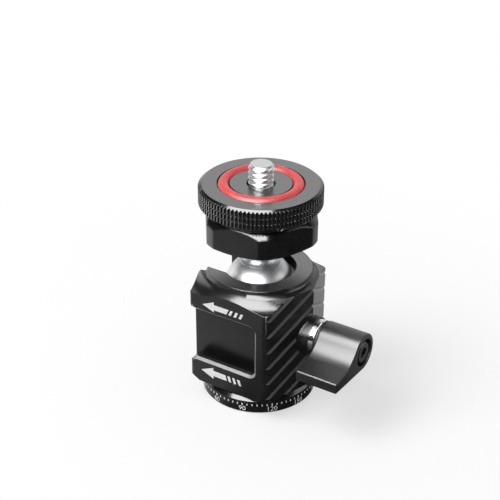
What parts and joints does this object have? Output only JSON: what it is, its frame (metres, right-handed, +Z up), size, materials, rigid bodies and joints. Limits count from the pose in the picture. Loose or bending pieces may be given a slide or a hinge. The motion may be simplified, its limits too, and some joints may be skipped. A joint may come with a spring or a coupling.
{
  "type": "ball-head swivel mount",
  "caption": "Mini ball-head swivel mount: graduated panning base, clamped ball with wing knob, accessory shoe slot, and a top stud with a knurled locking disc.",
  "frame": {"origin": "centre of the base dial's underside, in the mouth of the tripod thread", "axes": "+Z up along the pan axis and the upright stud, -Y out of the accessory shoe face, +X out of the clamp knob, -X out of the drop notch"},
  "size_m": [0.0448, 0.03, 0.062],
  "materials": {
    "black_aluminium": "satin anodised",
    "bright_steel": "polished",
    "gunmetal": "gloss plated",
    "black_steel": "black oxide",
    "red_rubber": "matt",
    "black_polymer": "matt",
    "brass": "machined"
  },
  "bodies": {
    "base": {"base_dial": "black_aluminium", "tripod_bush": "bright_steel", "pan_spring_washer": "bright_steel", "pan_ring_nut": "bright_steel"},
    "housing": {"swivel_body": "black_aluminium", "socket_ring": "black_aluminium", "screw_bush": "bright_steel", "pan_friction_washer": "black_polymer"},
    "pin": {"clamp_pin": "bright_steel"},
    "knob": {"wing_knob": "gunmetal", "clamp_screw": "bright_steel", "knob_screw": "black_steel", "knob_washer": "black_polymer"},
    "seat": {"seat_carrier": "brass"},
    "liner": {"ball_liner": "black_polymer"},
    "ball": {"ball": "bright_steel"},
    "head": {"stem": "bright_steel", "collar": "black_aluminium", "camera_stud": "bright_steel", "collar_set_screw": "black_steel"},
    "ring": {"grip_ring": "red_rubber"},
    "disc": {"lock_disc": "black_aluminium"}
  },
  "joints": [
    {"name": "pan", "type": "hinge", "parent": "base", "child": "housing", "pos_m": [0, 0, 0.0047], "axis": [0, 0, 1], "continuous": true},
    {"name": "pin_slide", "type": "slide", "parent": "housing", "child": "pin", "axis": [1, 0, 0], "range_m": [0, 0.0008]},
    {"name": "knob_turn", "type": "hinge", "parent": "pin", "child": "knob", "pos_m": [0, 0, 0.01935], "axis": [1, 0, 0], "range_deg": [0, 360]},
    {"name": "seat_lift", "type": "slide", "parent": "housing", "child": "seat", "axis": [0, 0, 1], "range_m": [-0.000463, 0]},
    {"name": "roll", "type": "hinge", "parent": "housing", "child": "liner", "pos_m": [0, 0, 0.02886], "axis": [1, 0, 0], "range_deg": [-20, 20]},
    {"name": "tilt", "type": "hinge", "parent": "liner", "child": "ball", "pos_m": [0, 0, 0.02886], "axis": [0, 1, 0], "range_deg": [-90, 20]},
    {"name": "spin", "type": "hinge", "parent": "ball", "child": "head", "pos_m": [0, 0, 0.02886], "axis": [0, 0, 1], "continuous": true},
    {"name": "ring_slide", "type": "slide", "parent": "head", "child": "ring", "axis": [0, 0, 1], "range_m": [0, 0.00254]},
    {"name": "disc_turn", "type": "hinge", "parent": "ring", "child": "disc", "pos_m": [0, 0, 0.057], "axis": [0, 0, 1], "range_deg": [0, 720]}
  ],
  "couplings": [
    {"joint": "knob_turn", "follows": "pin_slide", "rad_per_m": 7854},
    {"joint": "seat_lift", "follows": "pin_slide", "ratio": -0.57735},
    {"joint": "disc_turn", "follows": "ring_slide", "rad_per_m": 4947.4}
  ]
}
